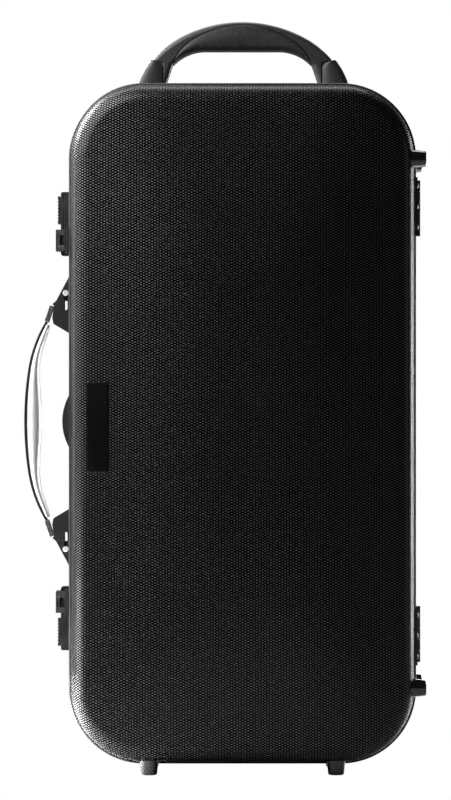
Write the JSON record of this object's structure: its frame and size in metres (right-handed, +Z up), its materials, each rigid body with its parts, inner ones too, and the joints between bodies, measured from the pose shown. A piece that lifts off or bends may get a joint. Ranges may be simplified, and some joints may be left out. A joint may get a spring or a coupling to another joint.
{
  "type": "bassoon case",
  "caption": "Upright hard case for a dismantled bassoon: hinged crowned lid, slide latches, lock, bow top handle, sprung side handle, feet and a pocketed lining.",
  "frame": {"origin": "on the ground under the middle of the whole object, as the case stands on its bottom feet", "axes": "+Z up along the length of the case, -Y out of the lid, +X towards the hinges and -X towards the latches and the side handle"},
  "size_m": [0.3906, 0.14, 0.7313],
  "materials": {
    "shell": "semi-gloss film embossed with a fine woven lozenge",
    "rim": "satin moulded profile",
    "seal": "soft black",
    "plush": "dark grey plush",
    "hinge": "black satin",
    "rivet": "blackened steel",
    "latch": "black satin",
    "slide": "dark grey moulded",
    "steel": "turned steel",
    "bracket": "black moulded",
    "strap": "black spring strap",
    "silver": "satin silver",
    "handle": "satin moulded",
    "soft": "soft touch, fine mottled grain",
    "cap": "satin moulded",
    "foot": "glossy black",
    "badge": "glossy black, bare"
  },
  "bodies": {
    "base": {"base_shell": "shell", "base_rim": "rim", "base_lining": "plush", "hinge_base_leaf_upper": "hinge", "hinge_base_leaf_lower": "hinge", "hinge_pins": "steel", "hinge_base_rivets": "rivet", "latch_housing_upper": "latch", "latch_housing_lower": "latch", "latch_flap_pins": "steel", "latch_rivets": "rivet", "lock_housing": "latch", "lock_housing_rivets": "rivet", "side_handle_bracket_upper": "bracket", "side_handle_bracket_lower": "bracket", "side_handle_screws": "steel", "side_handle_backing_plates": "steel", "top_handle_body": "handle", "top_handle_grip": "soft", "top_handle_end_caps": "cap", "top_handle_backing_plates": "steel", "top_handle_screws": "steel", "base_side_feet": "foot", "base_bottom_feet": "foot", "base_foot_screws": "rivet"},
    "lid": {"lid_shell": "shell", "lid_rim": "rim", "rim_seal": "seal", "lid_lining": "plush", "hinge_lid_leaf_upper": "hinge", "hinge_lid_leaf_lower": "hinge", "hinge_lid_rivets": "rivet", "latch_keeper_upper": "latch", "latch_keeper_lower": "latch", "keeper_rivets": "rivet", "lock_striker": "latch", "lock_striker_rivets": "rivet", "badge_plate": "badge", "lid_side_feet": "foot", "lid_bottom_feet": "foot", "lid_foot_screws": "rivet"},
    "latch_flap_upper": {"latch_flap_upper": "latch"},
    "latch_flap_lower": {"latch_flap_lower": "latch"},
    "latch_slide_upper": {"latch_slide_upper": "slide"},
    "latch_slide_lower": {"latch_slide_lower": "slide"},
    "lock_cylinder": {"lock_cylinder": "steel"},
    "side_handle": {"side_handle_grip": "silver", "side_handle_strap": "strap", "side_handle_ferrules": "steel"},
    "side_pin_upper": {"side_handle_tongue_upper": "strap", "side_handle_pin_upper": "steel"},
    "side_pin_lower": {"side_handle_tongue_lower": "strap", "side_handle_pin_lower": "steel"}
  },
  "joints": [
    {"name": "lid_hinge", "type": "hinge", "parent": "base", "child": "lid", "pos_m": [0.1895, 0, 0.3403], "axis": [0, 0, 1], "range_deg": [0, 110]},
    {"name": "latch_flap_upper_pivot", "type": "hinge", "parent": "base", "child": "latch_flap_upper", "pos_m": [-0.1607, 0.0132, 0.5159], "axis": [0, 0, -1], "range_deg": [0, 80]},
    {"name": "latch_slide_upper_travel", "type": "slide", "parent": "base", "child": "latch_slide_upper", "axis": [0, 0, 1], "range_m": [0, 0.006], "stiffness_N_per_m": 250},
    {"name": "latch_flap_lower_pivot", "type": "hinge", "parent": "base", "child": "latch_flap_lower", "pos_m": [-0.1607, 0.0132, 0.1647], "axis": [0, 0, -1], "range_deg": [0, 80]},
    {"name": "latch_slide_lower_travel", "type": "slide", "parent": "base", "child": "latch_slide_lower", "axis": [0, 0, -1], "range_m": [0, 0.006], "stiffness_N_per_m": 250},
    {"name": "lock_turn", "type": "hinge", "parent": "base", "child": "lock_cylinder", "pos_m": [-0.1563, 0.008, 0.3403], "axis": [-1, 0, 0], "range_deg": [0, 90]},
    {"name": "side_handle_pull", "type": "slide", "parent": "base", "child": "side_handle", "axis": [-1, 0, 0], "range_m": [0, 0.012], "stiffness_N_per_m": 800},
    {"name": "side_pin_upper_slide", "type": "slide", "parent": "side_handle", "child": "side_pin_upper", "axis": [0.9341, 0, -0.3569], "range_m": [0, 0.01286]},
    {"name": "side_pin_lower_slide", "type": "slide", "parent": "side_handle", "child": "side_pin_lower", "axis": [0.9341, 0, 0.3569], "range_m": [0, 0.01286]}
  ],
  "couplings": [
    {"joint": "side_pin_upper_slide", "follows": "side_handle_pull", "ratio": 1.0705},
    {"joint": "side_pin_lower_slide", "follows": "side_handle_pull", "ratio": 1.0705}
  ]
}
